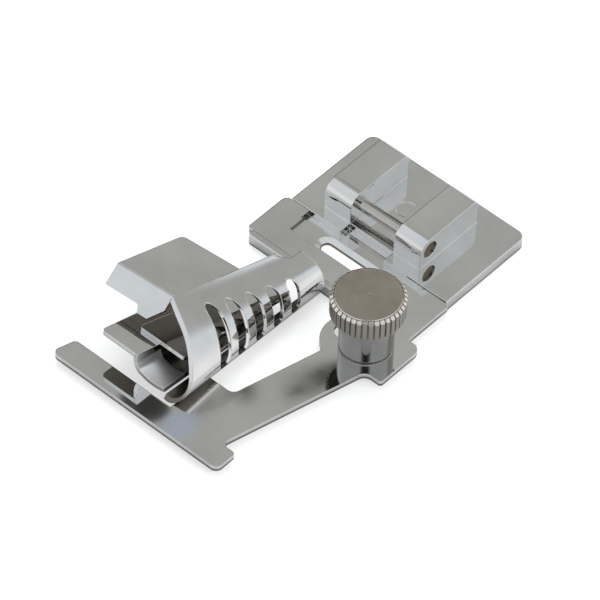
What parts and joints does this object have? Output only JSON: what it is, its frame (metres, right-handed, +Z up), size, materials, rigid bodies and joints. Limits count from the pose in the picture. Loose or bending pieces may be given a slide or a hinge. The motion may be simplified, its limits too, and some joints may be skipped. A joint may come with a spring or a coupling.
{
  "type": "sewing machine presser foot",
  "caption": "Clip-on binder presser foot with a slotted tape scroll on a sliding plate, held by a knurled thumbscrew",
  "frame": {"origin": "on the underside of the sole, in the middle of the needle opening", "axes": "+Y runs along the foot away from the person sewing, +Z up from the fabric, +X to the right"},
  "size_m": [0.0363, 0.0607, 0.0117],
  "materials": {
    "cast_chrome": "bright chrome plating on a die casting",
    "steel_pin": "plain turned steel",
    "sheet_chrome": "bright chrome plating on pressed sheet",
    "collar_chrome": "bright chrome plating",
    "knurled_nickel": "dull nickel plating, turned face and straight knurl"
  },
  "bodies": {
    "foot": {"sole": "cast_chrome", "snap_pin": "steel_pin"},
    "slider": {"binder_plate": "sheet_chrome", "scroll": "sheet_chrome", "lower_guide": "sheet_chrome", "tongue": "sheet_chrome"},
    "screw": {"thumbscrew": "knurled_nickel", "clamp_collar": "collar_chrome"}
  },
  "joints": [
    {"name": "plate_slide", "type": "slide", "parent": "foot", "child": "slider", "axis": [1, 0, 0], "range_m": [-0.002, 0.0035]},
    {"name": "screw_turn", "type": "hinge", "parent": "foot", "child": "screw", "pos_m": [0.01247, -0.01043, 0], "axis": [0, 0, 1], "range_deg": [0, 360]}
  ]
}
